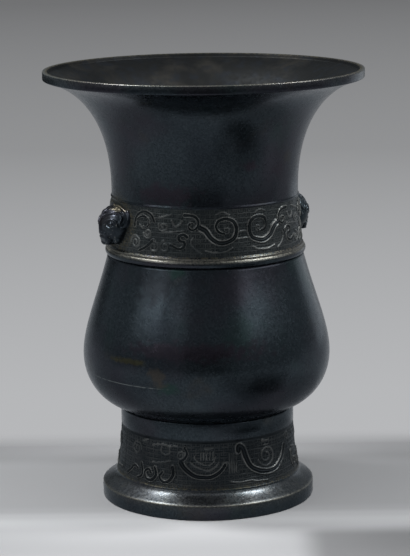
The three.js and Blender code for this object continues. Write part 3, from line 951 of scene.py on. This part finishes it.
# Masks
# A small animal's head is riveted to each side of the neck. It was modelled in wax from rolls and pellets and
# cast solid, and handling has rubbed its crown to the metal.
mask_middle = neck_band_top - 15 * mm
mask_wall = radius_at(neck_band_outline, mask_middle)
mask_seat = 0.9 * mm
skull_size = (14.2, 11.7, 10.4)
muzzle_outline = [(-2, 1.3), (8.2, 1.3), (9.6, -4.9), (8.9, -8.3), (8.3, -10.8), (7, -12.4), (-2, -12.2)]
muzzle_width = 10.4
muzzle_rounding = 1.4
roll_gap = 0.3
wax_grain = 0.3 * mm
crown_wear = (0.15, 0.133, 0.093)
painted_mane_highlight = (0.3, 0.3, 0.28)


def on_mask(across, up, out):
    """A place on the flat wax, in mm across its middle line, over its centre and out from its back."""
    return Vector((out, across, up)) * mm


def pellet(wax, place, size):
    """An egg of wax with half sizes across, up and out."""
    across, up, out = size
    shape = Matrix.Diagonal((out * mm, across * mm, up * mm, 1))
    laid = Matrix.Translation(on_mask(*place)) @ shape
    bmesh.ops.create_icosphere(wax, subdivisions=4, radius=1, matrix=laid)


def roll(wax, points, start, end):
    """A roll of wax along a smooth line, tapering from one radius to another."""
    line = smooth_line([Vector(p) for p in points], roll_gap)
    for i, p in enumerate(line):
        radius = (start + (end - start) * i / len(line)) * mm
        laid = Matrix.Translation(on_mask(*p))
        bmesh.ops.create_icosphere(wax, subdivisions=1, radius=radius, matrix=laid)


def both_pellets(wax, place, size):
    """The same pellet on either side of the face."""
    pellet(wax, place, size)
    pellet(wax, (-place[0], place[1], place[2]), size)


def both_rolls(wax, points, start, end):
    """The same roll on either side of the face."""
    roll(wax, points, start, end)
    roll(wax, [(-across, up, out) for across, up, out in points], start, end)


def on_skull(points):
    """Lays points of (across, up) on the skull's dome."""
    laid = []
    for across, up in points:
        left = 1 - (across / skull_size[0]) ** 2 - (up / skull_size[1]) ** 2
        laid.append((across, up, max(0.9, skull_size[2] * sqrt(max(0, left)) + 0.25)))
    return laid


def muzzle(wax):
    """The side outline drawn out across the face, with rounded corners."""
    side = [wax.verts.new(on_mask(-muzzle_width / 2, up, out)) for out, up in muzzle_outline]
    face = wax.faces.new(side)
    drawn = bmesh.ops.extrude_face_region(wax, geom=[face])["geom"]
    moved = [v for v in drawn if isinstance(v, bmesh.types.BMVert)]
    bmesh.ops.translate(wax, vec=(0, muzzle_width * mm, 0), verts=moved)
    edges = {e for v in side + moved for e in v.link_edges}
    bmesh.ops.bevel(wax, geom=list(edges), offset=muzzle_rounding * mm, segments=4, profile=0.5,
                    affect="EDGES", material=-1)


mask_wax = bmesh.new()
muzzle(mask_wax)
pellet(mask_wax, (0, 0, 0), skull_size)
pellet(mask_wax, (0, -4.8, 9.3), (3.7, 1.5, 1.5))
both_pellets(mask_wax, (3.6, -4.6, 8.6), (1.5, 1.4, 1.4))
both_pellets(mask_wax, (6.4, -5.2, 1.2), (4.3, 6.6, 4.5))
both_pellets(mask_wax, (14.2, 5.2, -0.4), (4.2, 5.8, 1.9))
both_pellets(mask_wax, (8.5, 1.7, 7.3), (1.8, 1.6, 1.9))
roll(mask_wax, [(0, 11.3, 2.6), (0, 9.3, 7), (0, 5.2, 9.9), (0, 1.3, 10.7), (0, -3.9, 10.1)], 0.9, 1.4)
brow = on_skull([(1, 5.6), (4.5, 7.7), (7.4, 8.4), (10.3, 7.6), (12.3, 5.3), (12.8, 2.6)])
crest_roll = on_skull([(1, 8.8), (4.7, 10.1), (8.4, 9.8), (11.8, 8.1), (13.9, 5.4), (14, 2.3)])
upper_lid = on_skull([(4.1, 1.7), (6, 3.9), (8.7, 4.6), (11.1, 3.4), (12, 0.9)])
lower_lid = on_skull([(6.2, 0.2), (8.3, -0.7), (10.6, 0.2)])
horn = [(0.8, 11.6, 0.9), (5, 11.9, 0.7), (9, 11.2, 0.5), (13, 9.8, 0.4), (16.3, 7, 0.5), (17.2, 4.1, 0.9),
        (15.6, 1, 1.8), (12.7, -0.5, 3.2), (10.9, 0.5, 5)]
nostril = [(3, -3.2, 9.6), (4.9, -3, 8.5), (5.5, -4.4, 7.1), (5.3, -5.9, 7.2), (5.4, -5.5, 8.3)]
upper_lip = [(0, -7.9, 9.2), (3.1, -7.7, 9), (5.1, -8, 7.6), (5.5, -9.2, 5.9), (5.4, -10.2, 6.4),
             (5.3, -9.6, 7.3)]
both_rolls(mask_wax, brow, 0.95, 0.8)
both_rolls(mask_wax, crest_roll, 0.95, 0.8)
both_rolls(mask_wax, upper_lid, 0.9, 0.7)
both_rolls(mask_wax, lower_lid, 0.55, 0.5)
both_rolls(mask_wax, horn, 1.2, 0.9)
both_rolls(mask_wax, nostril, 0.75, 0.65)
both_rolls(mask_wax, upper_lip, 0.8, 0.65)
roll(mask_wax, [(-3.8, -11.4, 7.4), (0, -11.8, 7.8), (3.8, -11.4, 7.4)], 0.9, 0.9)

# The flat wax is bent round the neck, and one skin is laid over its rolls and pellets.
for vert in mask_wax.verts:
    turn = vert.co.y / mask_wall
    height = mask_middle + vert.co.z
    reach = radius_at(neck_band_outline, height) + vert.co.x
    vert.co = (reach * cos(turn), reach * sin(turn), height)
mask_data = bpy.data.meshes.new("mask_wax")
mask_wax.to_mesh(mask_data)
mask_wax.free()
mask_form = bpy.data.objects.new("mask_wax", mask_data)
bpy.context.collection.objects.link(mask_form)
remesh = mask_form.modifiers.new("one_skin", "REMESH")
remesh.mode = "VOXEL"
remesh.voxel_size = wax_grain
smoothing = mask_form.modifiers.new("worn_wax", "SMOOTH")
smoothing.factor = 0.5
smoothing.iterations = 3
mask_skin = bmesh.new()
mask_skin.from_object(mask_form, bpy.context.evaluated_depsgraph_get())
bpy.data.objects.remove(mask_form)
for vert in mask_skin.verts:
    radius = vert.co.xy.length
    seat = radius_at(neck_band_outline, vert.co.z) - mask_seat
    if radius < seat:
        vert.co.x, vert.co.y = vert.co.x / radius * seat, vert.co.y / radius * seat
bmesh.ops.recalc_face_normals(mask_skin, faces=mask_skin.faces)

mask_wear_and_painted_highlight = [
    ((-55, -29, 195.5), (8, 14, 3.6), 8, crown_wear),
    # This small pale spot on the left of the mane is a painted highlight.
    ((-65.5, -20, 187.5), (1.8, 8, 3.6), 0, painted_mane_highlight),
]
mask_patina = patinated("mask_patina", 61, skin, stains_and_painted_light=mask_wear_and_painted_highlight, crests=0.8)
for side, turn in (("right", 0), ("left", pi)):
    copy = mask_skin.copy()
    bmesh.ops.rotate(copy, cent=(0, 0, 0), matrix=Matrix.Rotation(turn, 3, "Z"), verts=copy.verts)
    finished("cast_" + side + "_mask", copy, mask_patina, side + "_mask")
mask_skin.free()


# Rivets
# A cast rivet holds each mask. Its head is hammered over inside the neck, and its shank ends in the mask's
# back.
head_height = 2.2 * mm
shank_radius = 2.2 * mm


def plain_metal(name, colour, patch, roughness):
    """Metal that nobody finished: cast skin or solder, dull and patchy."""
    material = bpy.data.materials.new(name)
    material.use_nodes = True
    tree = material.node_tree
    shader = tree.nodes["Principled BSDF"]
    coords = shader_node(tree, "ShaderNodeTexCoord").outputs["Object"]
    patches = noise_clouds(tree, coords, 60, 0.38, 0.66, 6)
    tree.links.new(tint(tree, colour, patch, patches), shader.inputs["Base Color"])
    shader.inputs["Metallic"].default_value = 0.7
    shader.inputs["Roughness"].default_value = roughness
    grain = vector_node(tree, "ShaderNodeTexNoise", coords, Scale=500, Detail=6)
    tree.links.new(bump(tree, grain, 0.6, 0.4 * mm).outputs["Normal"], shader.inputs["Normal"])
    return material


raw_bronze = plain_metal("raw_bronze", (0.07, 0.055, 0.042), (0.03, 0.034, 0.03), 0.62)
for side, facing in (("right", 1), ("left", -1)):
    rivet_low, rivet_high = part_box(side + "_mask_rivet")
    head_end = min(abs(rivet_low.x), abs(rivet_high.x))
    shank_end = max(abs(rivet_low.x), abs(rivet_high.x))
    head_radius = (rivet_high.y - rivet_low.y) / 2
    rivet_height = (rivet_low.z + rivet_high.z) / 2
    dome = curve((0, head_end), (head_radius * 0.6, head_end), (head_radius, head_end + head_height * 0.5),
                 (head_radius, head_end + head_height), 8)
    rivet_outline = [(0, head_end), *dome, (shank_radius, head_end + head_height), (shank_radius, shank_end),
                     (0, shank_end)]
    rivet = bmesh.new()
    verts = [rivet.verts.new((facing * reach, radius, rivet_height)) for radius, reach in rivet_outline]
    edges = [rivet.edges.new(pair) for pair in zip(verts, verts[1:])]
    bmesh.ops.spin(rivet, geom=verts + edges, cent=(0, 0, rivet_height), axis=(1, 0, 0), angle=2 * pi,
                   steps=32, use_merge=True)
    bmesh.ops.remove_doubles(rivet, verts=rivet.verts, dist=1e-6)
    bmesh.ops.recalc_face_normals(rivet, faces=rivet.faces)
    finished("hammered_" + side + "_rivet", rivet, raw_bronze, side + "_mask_rivet")


# Base plate
# A cast bronze disc closes the foot from below. It was let in against a ledge, soldered round its edge and
# left rough.
plate_low, plate_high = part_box("base_plate")
plate_chamfer = 0.4 * mm
plate_shell = turned_shell([
    (0, plate_low.z),
    (plate_high.x - plate_chamfer, plate_low.z),
    (plate_high.x, plate_low.z + plate_chamfer),
    (plate_high.x, plate_high.z),
    (0, plate_high.z),
])
finished("cast_base_plate", plate_shell, raw_bronze, "base_plate")


# Solder seams
# A fillet of solder closes the corner of each lap from inside, and is hollow where it ran. The third one
# closes the edge of the base plate from below.
solder_leg = 2.4 * mm
neck_lap_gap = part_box("neck_solder_seam")[1].x - neck_spigot[0]
solder = plain_metal("dull_solder", (0.17, 0.17, 0.165), (0.09, 0.09, 0.085), 0.5)


def seam(node, leg_in, flat_on_top):
    """A fillet with one leg up the wall and one leg in towards the axis."""
    seam_low, seam_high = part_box(node)
    outer = seam_high.x
    flat, tip = (seam_high.z, seam_low.z) if flat_on_top else (seam_low.z, seam_high.z)
    hollow = (outer - leg_in * 0.4, flat + (tip - flat) * 0.4)
    shell = turned_shell([
        (outer, flat),
        (outer - leg_in, flat),
        *bend((outer - leg_in, flat), hollow, (outer, tip), 6),
    ])
    finished("run_" + node, shell, solder, node)


seam("neck_solder_seam", neck_lap_gap, False)
seam("foot_solder_seam", solder_leg, True)
seam("base_plate_solder_seam", solder_leg, True)
